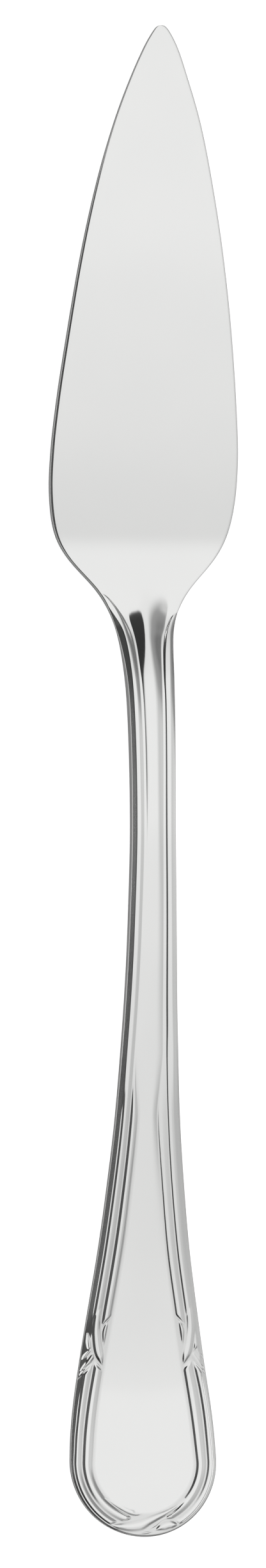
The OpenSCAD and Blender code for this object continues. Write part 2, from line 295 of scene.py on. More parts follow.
# Heights of the single or middle reed, the inner and the outer one, as shares of the full height
TAIL_LEVEL = [[48.4, 0.88], [57.2, 0.88]]
reed_level = by_side(
    along([[0, 0.95], [SIDE_FULL + 2, 0.95], [STEM_AT - 4, 0.84], [STEM_AT + 8, 0.78],
           [STEM_WAIST_AT, 0.64], [ROOT_AT - 5, 0.6]]
          + on_handle([[0, 0.65], [8.8, 0.73], [17.6, 0.8], [26.4, 0.84], [35, 0.93]] + TAIL_LEVEL), SOFT),
    along([[0, 0.85], [SIDE_FULL + 1, 0.85], [STEM_AT - 4, 0.72], [STEM_AT - 2, 0.56],
           [STEM_AT + 8, 0.57], [STEM_WAIST_AT, 0.61], [ROOT_AT - 5, 0.66]]
          + on_handle([[0, 0.56], [8.8, 0.5], [17.6, 0.54], [26.4, 0.6], [36, 0.7]] + TAIL_LEVEL), SOFT),
)
inner_level = by_side(
    along([[0, 0.3]] + on_handle([[1, 0.3], [8, 0.8], [17.6, 0.92], [26.4, 1.0], [57.2, 1.02]]), SOFT),
    along([[0, 0.1]] + on_handle([[1, 0.1], [9, 0.42], [17.6, 0.5], [26.4, 0.6], [36, 0.75], [48.4, 1.0],
                                  [57.2, 1.02]]), SOFT),
)
outer_level = by_side(0.15, 0.0)
# Shares of their widths at which the crests of the single or middle reed and of the inner one lie
crest_share = by_side(
    along([[0, 0.34], [OVERALL_L, 0.34]], SOFT),
    along([[0, 0.5], [HEEL_AT + 12, 0.5], [HEEL_AT + 16, 0.6], [ROOT_AT - 5, 0.66]]
          + on_handle([[6, 0.78], [26.4, 0.76], [36, 0.6], [48.4, 0.36], [57.2, 0.34]]), SOFT),
)
inner_crest = by_side(
    0.45,
    along([[0, 0.76]]
          + on_handle([[9, 0.76], [26.4, 0.72], [36, 0.6], [48.4, 0.61], [57.2, 0.52]]), SOFT),
)
# How far in the slanting side beside the reeds reaches, how far it falls for that, and how round it is
side_run = by_side(
    along([[0, 0.6], [SIDE_START, 0.6], [SIDE_FULL, 0.92], [STEM_AT - 3.5, 0.72], [STEM_AT, 0.64]]
          + on_handle([[0, 0.68], [8.8, 0.6], [17.6, 0.63], [26.4, 0.63], [35, 0.62], [37, 0.74],
                       [38.6, 0.95], [39.8, 1.0], [41.5, 0.8], [44.5, 0.62], [48.4, 0.5], [52.8, 0.42],
                       [57.2, 0.35]]), SOFT_SIDE),
    along([[0, 0.6], [SIDE_FULL, 0.6], [STEM_AT, 0.9]]
          + on_handle([[0, 1.0], [37, 1.0], [48.4, 0.42], [57.2, 0.38]]), SOFT),
)
side_steepness = by_side(
    along([[0, 0.78], [STEM_AT - 6, 0.78], [STEM_AT + 1, 1.0]]
          + on_handle([[35, 1.0], [37, 0.86], [38.6, 0.76], [39.8, 0.75], [42, 0.9], [44.5, 1.0],
                       [57.2, 1.0]]), SOFT_SIDE),
    0.42,
)
side_round = by_side(
    along([[0, 0.28], [ROOT_AT, 0.28], [ROOT_AT + 8, 0.12], [OVERALL_L, 0.12]], SOFT), 0.7)
# How much of the rib's half-width its round ridge takes, how wide half a rib is at its foot, and how
# much of that is the hollow toe
ridge_share = by_side(
    along([[0, 0.2], [HEEL_AT + 8.8, 0.22], [HEEL_AT + 10.8, 0.33], [HEEL_AT + 13.3, 0.56],
           [HEEL_AT + 14.8, 0.75], [HEEL_AT + 16.8, 1], [OVERALL_L, 1]], SLIGHT),
    along([[0, 0.55], [HEEL_AT + 11, 0.6], [HEEL_AT + 15, 0.85], [HEEL_AT + 18, 1], [OVERALL_L, 1]],
          SLIGHT),
)
rib_foot = by_side(
    2.17, along([[0, 3.4], [HEEL_AT + 6, 3.4], [HEEL_AT + 11, 2.6], [OVERALL_L, 2.6]], SLIGHT))
rib_toe = by_side(
    0.03, along([[0, 0.3], [HEEL_AT + 5, 0.3], [HEEL_AT + 7.5, 0.1], [OVERALL_L, 0.12]], SLIGHT))
# How much later the rib starts at its foot and by its ridge than between the two, which rounds its
# head. The slope's middle and its reach to either side are shares of the rib's half width.
BLUNT_L = by_side(0.12, 0.0)
BLUNT_MIDDLE_SHARE, BLUNT_REACH_SHARE, BLUNT_POWER = 0.66, 0.34, 3
# How much painted shade, a darker tone, and added roughness the blade gets towards its heel
heel_painted_shade = along([[0, 0], [27, 0], [37, 0.28], [45, 0.4], [52, 0.5], [58, 0.66], [65, 0.92], [70, 1.0],
                   [72.3, 0.15], [73.2, 0], [OVERALL_L, 0]], CRISP)


def sided(at):
    """How much of the slanting side by the reeds there is, where the blade's bevel has ended."""
    return ease((at - SIDE_START) / (SIDE_FULL - SIDE_START))


def split(at):
    """How far the single reed has become three."""
    return ease((at - SPLIT_START) / SPLIT_L)


def turned(run):
    """0 on the left side and 1 on the right, passing from one to the other round the tail's middle."""
    return ease(run / TURN_L + 0.5)


def mixed(pair, run, at):
    """Value at a place, by the left side's curve, the right side's or between them round the tail."""
    left, right = (f(at) if callable(f) else f for f in (pair[LEFT], pair[RIGHT]))
    return between(left, right, turned(run))


# Ribs: lines across one side, from the edge to the middle

# Distance to either side of a rib over which the edge's lean is taken
RIB_NUDGE = 0.1
# Most of the reeds' width that the outer one may take
OUTER_MOST_SHARE = 0.4
# Rounding where the middle's start meets the rib's foot on the neck, and the length over which the
# foot stops counting before the stem
CORNER_ROUND, CORNER_FADE_L = 0.25, 5


def run_of(at):
    """Distance round the edge from the tail's middle, for a place on the flank."""
    return TAIL_R * math.pi / 2 + TAIL_AT - at


def flank_ribs(places, side):
    """Ribs at places along one flank: ends, lean of the edge, and distance from the tail's middle."""
    before, after = np.maximum(places - RIB_NUDGE, 0), places + RIB_NUDGE
    lean = (reach_of[side](after) - reach_of[side](before)) / (after - before)
    outer = side * reach_of[side](places)
    inner = (reach_of[RIGHT](places) - reach_of[LEFT](places)) / 2
    return {
        "edge": np.stack([places, outer], 1),
        "middle": np.stack([places, inner], 1),
        "lean": np.sqrt(1 + lean * lean),
        "run": side * run_of(places),
    }


def tail_ribs(angles):
    """The same round the tail, at angles from the knife's middle line."""
    return {
        "edge": np.stack([TAIL_AT + TAIL_R * np.cos(angles), TAIL_R * np.sin(angles)], 1),
        "middle": np.tile([TAIL_AT, 0.0], (len(angles), 1)),
        "lean": np.ones(len(angles)),
        "run": TAIL_R * angles,
    }


def joined(*groups):
    """Groups of ribs in one row."""
    return {key: np.concatenate([g[key] for g in groups]) for key in groups[0]}


def room_of(ribs):
    """Distance from the edge to the middle line, taken square to the edge."""
    return np.linalg.norm(ribs["middle"] - ribs["edge"], axis=1) / ribs["lean"]


def bands_of(ribs):
    """Distances from the edge at which the outer and the middle reed end, the middle starts, and
    the middle line lies, for each rib."""
    at, run, room = ribs["edge"][:, 0], ribs["run"], room_of(ribs)
    reeds = mixed(reed_end, run, at)
    outer = np.minimum(outer_groove(at), OUTER_MOST_SHARE * reeds)
    inner = mixed(middle_start, run, at)
    by_rib = room - mixed(rib_foot, run, at)
    greater = (inner + by_rib + np.hypot(inner - by_rib, CORNER_ROUND)) / 2
    inner = between(inner, greater, ease((STEM_AT - at) / CORNER_FADE_L))
    squeeze = np.minimum(1, room * MOST_SHARE / inner)
    return np.stack([outer * squeeze, reeds * squeeze, inner * squeeze, room], 1)


# Relief of the reeds and of the ribbons that tie them

# Shares that the round start and the hollow toe take of the walls of a reed or ribbon, and the least one
OUTER_WALL, INNER_WALL = (0.4, 0.15), (0.5, 0.2)
LEAST_SHARE = 1e-3
# Share of its width at which the crest of the outer reed lies
OUTER_CREST_SHARE = 0.86
# Width of the reeds from which they have their full height
REED_FULL_W = 1.6


def rounded(v, round_share, toe_share=0.0):
    """0 to 1 along a slope that starts with a round, goes on straight and may end in a hollow toe."""
    v = np.clip(v, 0, 1)
    k, toe = np.maximum(round_share, LEAST_SHARE), np.maximum(toe_share, LEAST_SHARE)
    gone = np.where(v < k, v * v / (2 * k), v - k / 2) - np.clip(v - 1 + toe, 0, None) ** 2 / (2 * toe)
    return gone / (1 - k / 2 - toe / 2)


def ridge(d, low, high, crest, outer_slope=1.0):
    """Height from 0 to 1 across a reed, whose crest lies at a share of its width."""
    top = between(low, high, crest)
    outside = 1 - outer_slope * rounded((top - d) / (top - low), *OUTER_WALL)
    inside = 1 - rounded((d - top) / (high - top), *INNER_WALL)
    return np.where(d < top, outside, inside) * (d < high)


# Width beside a ribbon that it clears, and the half width from which it clears it fully
CLEAR_W, CLEAR_HALF_W = 0.3, 0.3
# Share of its half width up to which it lifts the side, share over which that fades, and the half
# width from which it lifts the side fully
LIFT_SHARE, LIFT_FADE_SHARE, LIFT_HALF_W = 0.5, 0.7, 0.15
# Where a ribbon runs on from a reed: share of its length over which it rises, share from which it
# clears what lies beside it, and share over which it comes to do so
RISE_SHARE, CLEAR_FROM_SHARE, CLEAR_RISE_SHARE = 0.2, 0.1, 0.3
# Steps from one knot of a path to the next
STEPS_PER_KNOT = 12
# Distances that stand for far away and for none, and the least square of a step
FAR, BEHIND, NOTHING, LEAST_SQUARE = 1e9, 1e3, 1e-6, 1e-12


def stroke(plan, path, half_widths, runs_on):
    """A ribbon drawn on the plan: its height at each point, from 0 to 1, its half width there, the
    share of what lies beside it that is left standing, and how much it lifts the side. One that runs
    on from a reed has no start."""
    path, half_widths = np.array(path, float), np.array(half_widths, float)
    knots = np.linspace(0, 1, len(path))
    fine = np.linspace(0, 1, STEPS_PER_KNOT * (len(path) - 1) + 1)
    line = np.stack([through(list(zip(knots, path[:, k])), fine) for k in (0, 1)], 1)
    widths = through(list(zip(knots, half_widths)), fine)
    best = np.full(len(plan), FAR)
    half, position = np.full(len(plan), NOTHING), np.zeros(len(plan))
    for i in range(len(line) - 1):
        step = line[i + 1] - line[i]
        t = ((plan - line[i]) @ step) / max(step @ step, LEAST_SQUARE)
        behind = (t < 0) & (i == 0) & runs_on
        t = np.clip(t, 0, 1)
        away = np.linalg.norm(plan - line[i] - t[:, None] * step, axis=1) + BEHIND * behind
        width = between(widths[i], widths[i + 1], t)
        nearer = away - width < best - half
        best, half = np.where(nearer, away, best), np.where(nearer, width, half)
        position = np.where(nearer, (i + t) / len(line), position)
    height = 1 - rounded(best / half, *INNER_WALL)
    beside = between(1, ease((best - half) / CLEAR_W), np.minimum(1, half / CLEAR_HALF_W))
    lifts = 1 - ease((best / half - LIFT_SHARE) / LIFT_FADE_SHARE)
    if runs_on:
        height = height * ease(position / RISE_SHARE)
        beside = between(1, beside, ease((position - CLEAR_FROM_SHARE) / CLEAR_RISE_SHARE))
    return height, half, beside, lifts * np.minimum(1, half / LIFT_HALF_W)


# Ribbons that tie the reeds of a flank, each laid over the ones before: name, share of the full height
# on the left and on the right, path of (place, distance from the edge), and half widths along the path
TIE_STROKES = [
    ("leaf_on_inner", (0.9, 0.75),
     [(178.45, 2.8), (179.0, 2.68), (179.9, 2.6), (181.0, 2.66), (181.9, 2.78)],
     [0.04, 0.27, 0.35, 0.25, 0.04]),
    ("inner_end", (0.5, 0.4),
     [(177.9, 3.1), (178.5, 2.6), (179.2, 2.05)],
     [0.05, 0.14, 0.05]),
    ("outer_leaf", (0.9, 0.06),
     [(179.95, 0.33), (180.6, 0.5), (181.3, 0.68), (181.9, 0.85), (182.35, 1.0)],
     [0.03, 0.17, 0.28, 0.28, 0.05]),
    ("first_turn", (0.8, 0.08),
     [(182.1, 1.22), (182.6, 0.85), (183.1, 0.52), (183.65, 0.2)],
     [0.05, 0.19, 0.22, 0.05]),
    ("second_turn", (0.95, 0.22),
     [(182.7, 1.7), (183.25, 1.45), (183.8, 1.15), (184.4, 0.8), (184.95, 0.42), (185.2, 0.22)],
     [0.12, 0.38, 0.4, 0.3, 0.15, 0.04]),
    ("third_turn", (0.8, 0.25),
     [(184.25, 1.45), (184.75, 1.05), (185.2, 0.66), (185.75, 0.22)],
     [0.06, 0.2, 0.21, 0.05]),
    ("inner_start", (0.6, 0.5),
     [(184.0, 2.0), (184.4, 2.45), (184.9, 3.0)],
     [0.05, 0.15, 0.05]),
    ("sweep_of_reed", (1.0, 0.72),
     [(174.0, 1.22), (176.5, 1.22), (178.2, 1.26), (179.4, 1.36), (181.2, 1.76), (182.2, 2.06),
      (182.9, 2.34), (183.6, 2.68), (184.5, 3.08)],
     [0.6, 0.6, 0.62, 0.65, 0.7, 0.7, 0.64, 0.42, 0.04]),
]
# The same round the tail, but with paths of (place, distance to the side of the knife's middle line)
TAIL_STROKES = [
    ("inner_leaf", (0.8, 0.8),
     [(202.3, -6.0), (203.0, -4.9), (203.75, -3.65), (204.45, -2.35), (204.8, -1.3), (204.85, -0.4)],
     [0.03, 0.2, 0.36, 0.45, 0.3, 0.03]),
    ("middle_ribbon", (0.5, 0.5),
     [(206.9, 0.5), (206.3, 1.5), (205.6, 2.4), (205.2, 3.4)],
     [0.05, 0.2, 0.2, 0.05]),
    ("outer_leaf", (0.8, 0.8),
     [(207.1, 1.3), (206.75, 2.0), (206.5, 2.75), (206.35, 3.4), (206.35, 4.0), (206.45, 4.45)],
     [0.04, 0.42, 0.7, 0.66, 0.4, 0.04]),
    ("small_leaf", (0.6, 0.6),
     [(207.5, -1.1), (207.4, 0.0), (207.25, 1.0)],
     [0.04, 0.2, 0.04]),
    ("sweep", (1.0, 0.9),
     [(206.2, -5.0), (206.45, -3.6), (206.5, -2.3), (206.35, -0.9), (205.8, 0.4), (205.3, 1.5),
      (204.7, 2.9), (204.0, 4.2), (203.0, 5.6)],
     [0.06, 0.5, 0.8, 0.9, 0.7, 0.58, 0.42, 0.24, 0.04]),
]
# Where ribbons are drawn: between these places, and up to this distance from the edge
TIE_FROM, TIE_TO, TIE_REACH = 172, 188, 4.2
TAIL_FROM, TAIL_REACH = 199.5, 5
# Most height of a ribbon for each mm of its half width, as a share of the full height
HEIGHT_PER_HALF = 2.0
# How fully a ribbon clears what lies beside it and lifts the side, for each share of its height
CLEAR_PER_SHARE, LIFT_PER_SHARE = 1.5, 1.2
# Share of the side's fall that a ribbon takes away where it lifts the side
LIFT = 0.8

# Outer, middle and inner reed: line at which it stops before the tie, line at which it starts after
# it, each through two points of (place, distance from the edge), and the distance round the edge from
# the tail's middle at which it ends on the left and on the right
LANES = [
    (((179.6, 0), (180.0, 0.8)), ((186.4, 0), (185.4, 0.8)), (4.6, 5.4)),
    (((182.0, 0.7), (183.0, 1.9)), ((185.4, 0.7), (184.2, 1.6)), (4.8, 5.2)),
    (((178.75, 2.24), (177.7, 3.05)), ((184.2, 2.1), (185.1, 3.0)), (3.1, 3.6)),
]
# Lengths over which it fades at such a line and at that end
CUT_FADE_L, END_FADE_L = 0.5, 1.2


def cut(place, d, low, high):
    """0 before a slanting line over the reeds, 1 after it; the line passes (place, d) low and high."""
    line = between(low[0], high[0], (d - low[1]) / (high[1] - low[1]))
    return ease((place - line) / CUT_FADE_L + 0.5)


def lane_levels(place, d, run):
    """How much of the outer, middle and inner reed stands: they stop at the ties."""
    levels = []
    for stop, start, (end_left, end_right) in LANES:
        level = 1 - cut(place, d, *stop) + cut(place, d, *start)
        end = np.where(run < 0, end_left, end_right)
        levels.append(level * ease((np.abs(run) - end) / END_FADE_L + 0.5))
    return levels


def relief(place, across, d, run, bands, at_edge):
    """Height of reeds and ribbons over the floor between them, in mm, and how much the ribbons lift
    the side."""
    groove, reeds, middle = bands[:, 0:1], bands[:, 1:2], bands[:, 2:3]
    level = split(at_edge)
    outer_on, middle_on, inner_on = lane_levels(place, d, run)
    outer_reed = ridge(d, 0 * groove, groove, OUTER_CREST_SHARE, outer_slope=0) * level * outer_on
    middle_reed = ridge(d, groove, reeds, mixed(crest_share, run, at_edge), outer_slope=level) * middle_on
    inner_reed = ridge(d, reeds, middle, mixed(inner_crest, run, at_edge)) * level * inner_on
    height = np.maximum.reduce([
        outer_reed * mixed(outer_level, run, at_edge),
        middle_reed * mixed(reed_level, run, at_edge),
        inner_reed * mixed(inner_level, run, at_edge),
    ])
    lift = np.zeros(height.shape)
    near_tie = (place > TIE_FROM) & (place < TIE_TO) & (d < TIE_REACH)
    near_tail = (place > TAIL_FROM) & (d < TAIL_REACH)
    for strokes, plan, near in (
        (TIE_STROKES, np.stack([place, d], -1), near_tie),
        (TAIL_STROKES, np.stack([place, across], -1), near_tail),
    ):
        if not near.any():
            continue
        points, local, raised = plan[near], height[near], lift[near]
        turn = np.broadcast_to(run, height.shape)[near]
        for name, shares, path, half_widths in strokes:
            own, half, beside, lifts = stroke(points, path, half_widths, name == "sweep_of_reed")
            share = mixed(by_side(*shares), turn, None)
            beside = between(1, beside, np.minimum(1, CLEAR_PER_SHARE * share))
            local = np.maximum(own * np.minimum(share, HEIGHT_PER_HALF * half), local * beside)
            raised = np.maximum(lifts * np.minimum(1, LIFT_PER_SHARE * share), raised)
        height[near], lift[near] = local, raised
    starts = ease(mixed(reed_end, run, at_edge) / REED_FULL_W)
    return height * REED_H * starts, lift


# Blade's bevel: the length over which it starts at the tip and the share of its size that it has there
BEVEL_START_L, BEVEL_TIP_SHARE = 1.5, 0.65
# How far before the heel it begins to fade, over which length, and by which share
BEVEL_FADE_BEFORE, BEVEL_FADE_L, BEVEL_FADE_SHARE = 6, 7, 0.5
# Share of its depth at first, the place up to which that holds, and the length over which it deepens
SHALLOW_SHARE, SHALLOW_TO, DEEPER_L = 0.54, 12, 36
# Shares of the bevel and of the right edge that are round
BEVEL_ROUND, EDGE_ROUND = 0.3, 0.9
# Least width of the bevel and least share of the slanting side, so that neither is nothing
LEAST_BEVEL_W, LEAST_SIDED = 0.01, 0.02


def fall(d, place, run, at_edge, lift):
    """How far the surface drops towards the edge: bevelled or rounded on the blade, slanting by the
    reeds, and rolled along the very edge."""
    at_tip = ease(place / BEVEL_START_L) * between(BEVEL_TIP_SHARE, 1, place / BLADE_L)
    at_neck = 1 - BEVEL_FADE_SHARE * ease((place - HEEL_AT + BEVEL_FADE_BEFORE) / BEVEL_FADE_L)
    deeper = between(SHALLOW_SHARE, 1, ease((place - SHALLOW_TO) / DEEPER_L))
    bevel_w = BEVEL_W * at_neck * at_tip + LEAST_BEVEL_W
    bevel = BEVEL_H * rounded(1 - d / bevel_w, BEVEL_ROUND) * at_tip * at_neck * deeper
    round_fall = EDGE_H * rounded(1 - d / EDGE_R, EDGE_ROUND)
    by_reeds = np.clip(sided(at_edge), LEAST_SIDED, 1)
    reach = mixed(side_run, run, at_edge) * by_reeds
    slant = rounded(1 - d / reach, mixed(side_round, run, at_edge))
    reed_fall = reach * mixed(side_steepness, run, at_edge) * slant
    roll_v = 1 - np.clip(d / ROLL_W, 0, 1)
    roll = ROLL_H * (1 - np.sqrt(1 - roll_v ** 2))
    on_blade = between(bevel, round_fall, turned(run)) * (1 - by_reeds)
    return np.maximum(on_blade, reed_fall * (1 - LIFT * lift)) + roll


# Skins

# Steps round the corner by the underside and up the side face
CORNER_STEPS, WALL_STEPS = 6, 3
# Least widths that the steps over the outer, middle and inner reed have to spread over
LEAST_BANDS = (0.5, 0.9, 1.2)
# Powers by which the steps lie closer together by the edge and by the rib's foot
CLOSER_BY_EDGE, CLOSER_BY_FOOT = 1.5, 1.6
CLOSER_ON_BEVEL, CLOSER_ON_LAND = 1.3, 1.5
# Width of the fine steps by the blade's edge, for each mm of its roundness
EDGE_STEPS_W = 1.05
# Width over which the painted shade and added roughness of the grooves fade, and that of the side face's
GROOVE_SHADE_W, SIDE_SHADE_W = 0.4, 3 * ROLL_W
# Points that lie closer than this are one, and edges that are shorter vanish, in m
SAME_POINT, NO_EDGE = 1e-7, 1e-8


def reed_stops(ribs, counts):
    """Distances from the edge of the points across the top, for counts of steps over the outer, middle
    and inner reed and over the middle."""
    bands = bands_of(ribs)
    for k, least in enumerate(LEAST_BANDS):
        bands[:, k] = np.maximum(bands[:, k], np.minimum(least, bands[:, 3] * least))
    starts = np.concatenate([np.zeros((len(bands), 1)), bands[:, :3]], 1)
    powers = (CLOSER_BY_EDGE, 1, 1, CLOSER_BY_FOOT)
    parts = [np.zeros((len(bands), 1))]
    for k, (count, power) in enumerate(zip(counts, powers)):
        t = (np.arange(1, count + 1) / count) ** power
        parts.append(between(starts[:, k:k + 1], bands[:, k:k + 1], t[None, :]))
    return np.concatenate(parts, 1)


def blade_stops(ribs, edge_steps, land_steps):
    """The same on the blade, with fine steps by the edge and wider ones up to the middle."""
    room = room_of(ribs)[:, None]
    edge_w = np.minimum(EDGE_R * EDGE_STEPS_W, room * MOST_SHARE)
    t = (np.arange(0, edge_steps + 1) / edge_steps) ** CLOSER_ON_BEVEL
    land = (np.arange(1, land_steps + 1) / land_steps) ** CLOSER_ON_LAND
    return np.concatenate([edge_w * t, between(edge_w, room, land)], 1)


def rib_points(ribs, stops):
    """Points of each rib, from the underside's middle over the edge to the top's middle; where each
    lies along the edge and round the section, in m; and how much painted shade and added roughness it
    has in the grooves or by the heel, and how much it lies on the side face, painted darker and rougher."""
    bands, room = bands_of(ribs), room_of(ribs)[:, None]
    at_edge, run = ribs["edge"][:, 0:1], ribs["run"][:, None]

    def plan(d):
        share = np.clip(d / room, 0, 1)[..., None]
        point = between(ribs["edge"][:, None], ribs["middle"][:, None], share)
        return point[..., 0], point[..., 1]

    place, across = plan(stops)
    half = room - bands[:, 2:3]
    down = np.clip((room - stops) / half, 0, 1)
    drop = rounded(down, mixed(ridge_share, run, at_edge), mixed(rib_toe, run, at_edge))
    off_middle = np.clip(np.abs(down - BLUNT_MIDDLE_SHARE) / BLUNT_REACH_SHARE, 0, 1)
    late = mixed(BLUNT_L, run, at_edge) * off_middle ** BLUNT_POWER
    height = mixed(rib_h, run, place - late)
    raised, lift = relief(place, across, stops, run, bands, at_edge)
    top = under(place) + thick(place) - height * drop + raised - fall(stops, place, run, at_edge, lift)

    under_r = thick(at_edge) * under_round(at_edge)
    corner = np.minimum(under_r, room * MOST_SHARE)
    turn = np.linspace(0, math.pi / 2, CORNER_STEPS + 1)[None, :]
    low_d = np.concatenate([room, between(room, corner, 0.5), corner * (1 - np.sin(turn))], 1)
    low_lift = np.concatenate([0 * room, 0 * room, under_r * (1 - np.cos(turn))], 1)
    low_place, low_across = plan(low_d)
    low_z = under(low_place) + low_lift

    wall = np.linspace(0, 1, WALL_STEPS + 1)[1:-1][None, :]
    wall_z = between(low_z[:, -1:], top[:, :1], wall)
    wall_place = np.repeat(at_edge, wall.shape[1], 1)
    wall_across = np.repeat(across[:, :1], wall.shape[1], 1)

    x = MIDDLE_X + np.concatenate([low_across, wall_across, across], 1)
    y = OVERALL_L / 2 - np.concatenate([low_place, wall_place, place], 1)
    z = np.concatenate([low_z, wall_z, top], 1)
    points = np.stack([x, y, z], -1) * MM
    # Painted shade, with added roughness: darker deeper in the grooves between the reeds and towards the
    # blade's heel
    in_reeds = 1 - ease((stops - bands[:, 2:3]) / GROOVE_SHADE_W)
    depth = in_reeds * (1 - raised / REED_H) ** 2 * split(at_edge) + heel_painted_shade(place)
    hollow = np.concatenate([0 * low_d, 0 * wall_place, depth], 1)
    # Side face: painted darker as shade, and rougher
    on_side = np.concatenate([low_lift / under_r, 0 * wall_place + 1, ease(1 - stops / SIDE_SHADE_W)], 1)
    steps = np.linalg.norm(np.diff(points, axis=1), axis=2)
    way = np.concatenate([np.zeros((len(x), 1)), np.cumsum(steps, 1)], 1)
    along_m = np.repeat(ribs["run"][:, None] * MM, points.shape[1], 1)
    return points, np.stack([along_m, way], -1), np.stack([hollow, on_side], -1)


def skin(name, node, points, lay, shade_and_finish):
    """Closed mesh over a grid of points with their lay and their masks of painted shade and roughness, and
    with its open ends filled.
    """
    rows, columns = points.shape[:2]
    bm = bmesh.new()
    bmesh.ops.create_grid(bm, x_segments=rows - 1, y_segments=columns - 1, size=1)
    uv = bm.loops.layers.uv.new("lay")
    bm.verts.layers.float.new("hollow")
    bm.verts.layers.float.new("side_face")
    hollow, side_face = (bm.verts.layers.float[n] for n in ("hollow", "side_face"))
    index = {}
    for vert in bm.verts:
        row = round((vert.co.x + 1) / 2 * (rows - 1))
        column = round((vert.co.y + 1) / 2 * (columns - 1))
        index[vert] = row, column
    for vert, (row, column) in index.items():
        vert.co = points[row, column]
        vert[hollow], vert[side_face] = shade_and_finish[row, column]
    for face in bm.faces:
        face.smooth = True
        for loop in face.loops:
            loop[uv].uv = lay[index[loop.vert]]
    bmesh.ops.remove_doubles(bm, verts=bm.verts, dist=SAME_POINT)
    bmesh.ops.dissolve_degenerate(bm, edges=bm.edges, dist=NO_EDGE)
    rim = [edge for edge in bm.edges if edge.is_boundary]
    for edge in rim:
        edge.smooth = False
    caps = bmesh.ops.holes_fill(bm, edges=rim, sides=0)["faces"]
    for face in caps:
        face.smooth = False
    bmesh.ops.recalc_face_normals(bm, faces=bm.faces)
    mesh = bpy.data.meshes.new(name)
    bm.to_mesh(mesh)
    bm.free()
    piece = bpy.data.objects.new(name, mesh)
    bpy.context.scene.collection.objects.link(piece)
    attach(piece, "root")
    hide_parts(node)
    return piece


def stretch(name, node, places, stops_of):
    """Skin round one stretch: each row runs round the whole section."""
    sides = []
    for side in (LEFT, RIGHT):
        ribs = flank_ribs(places, side)
        sides.append(rib_points(ribs, stops_of(ribs)))
    there, back = sides
    loops = [np.concatenate([a, b[:, -2::-1]], 1) for a, b in zip(there, back)]
    return skin(name, node, *loops)


def spaced(start, end, step):
    """Even places from start to end, about a step apart."""
    return np.linspace(start, end, max(2, round((end - start) / step)) + 1)


# Rows along the blade, which lie closer by the tip, and steps by its edge and over its land
BLADE_ROWS, CLOSER_BY_TIP = 260, 1.35
EDGE_STEPS, LAND_STEPS = 9, 16
# Distances between the rows elsewhere, with closer ones across the ties, and counts of steps over the
# outer, middle and inner reed and over the middle
NECK_STEP, STEM_STEP, FLANK_STEP, TIE_STEP, TAIL_STEP = 0.13, 0.3, 0.28, 0.065, 0.11
TIE_START, TIE_END = 173.5, 188.5
NECK_COUNTS, STEM_COUNTS, HANDLE_COUNTS = (9, 18, 7, 18), (9, 18, 5, 14), (12, 16, 20, 12)

blade_places = BLADE_L * np.linspace(0, 1, BLADE_ROWS + 1) ** CLOSER_BY_TIP
blade = stretch("fish_blade", "blade", blade_places,
                lambda ribs: blade_stops(ribs, EDGE_STEPS, LAND_STEPS))
neck = stretch("neck_rise", "neck", spaced(HEEL_AT, STEM_AT, NECK_STEP),
               lambda ribs: reed_stops(ribs, NECK_COUNTS))
stem = stretch("reeded_stem", "stem", spaced(STEM_AT, ROOT_AT, STEM_STEP),
               lambda ribs: reed_stops(ribs, STEM_COUNTS))

# The handle's rows run down its left flank, round the tail and back up its right flank
flank_places = np.concatenate([
    spaced(ROOT_AT, TIE_START, FLANK_STEP)[:-1],
    spaced(TIE_START, TIE_END, TIE_STEP)[:-1],
    spaced(TIE_END, TAIL_AT, FLANK_STEP),
])
tail_angles = spaced(-math.pi / 2, math.pi / 2, TAIL_STEP / TAIL_R)[1:-1]
handle_ribs = joined(
    flank_ribs(flank_places, LEFT), tail_ribs(tail_angles), flank_ribs(flank_places[::-1], RIGHT))
handle = skin("handle_tail", "handle_end",
              *rib_points(handle_ribs, reed_stops(handle_ribs, HANDLE_COUNTS)))

# Finish of the steel

STEEL_TONE = (0.82, 0.82, 0.81)
# Marks to a metre across and along the knife, and dulled patches to a metre
MARKS_ACROSS, MARKS_ALONG, PATCHES_PER_M = 9000.0, 160.0, 90.0
# Roughness that is added where it is dull and on the side face
DULL_ROUGHNESS, SIDE_ROUGHNESS = 0.06, 0.16
# Shares of the tone that are left as painted shade there and on the side face, and of the glancing
# shine on the side face, which is painted weaker as shade
PAINTED_SHADE_TONE, SIDE_SHADE_TONE, SIDE_GLANCE = 0.87, 0.55, 0.3
PATCH_TINT = (0.97, 0.975, 0.98, 1)
MARK_STRENGTH, MARK_DEPTH_M = 0.04, 0.00002


def socket(group, name, way, kind="NodeSocketFloat", value=None):
    made = group.interface.new_socket(name=name, in_out=way, socket_type=kind)
    if value is not None:
        made.default_value = value


def new_group(name, inputs, outputs):
    group = bpy.data.node_groups.new(name, "ShaderNodeTree")
    for label, kind, value in inputs:
        socket(group, label, "INPUT", kind, value)
    for label, kind in outputs:
        socket(group, label, "OUTPUT", kind)
    nodes = group.nodes
    return group, nodes.new("NodeGroupInput"), nodes.new("NodeGroupOutput")


def math_node(nodes, links, operation, a, b):
    """Result of one operation on two sockets or numbers."""
    node = nodes.new("ShaderNodeMath")
    node.operation = operation
    for slot, value in zip(node.inputs, (a, b)):
        if isinstance(value, (int, float)):
            slot.default_value = value
        else:
            links.new(value, slot)
    return node.outputs[0]


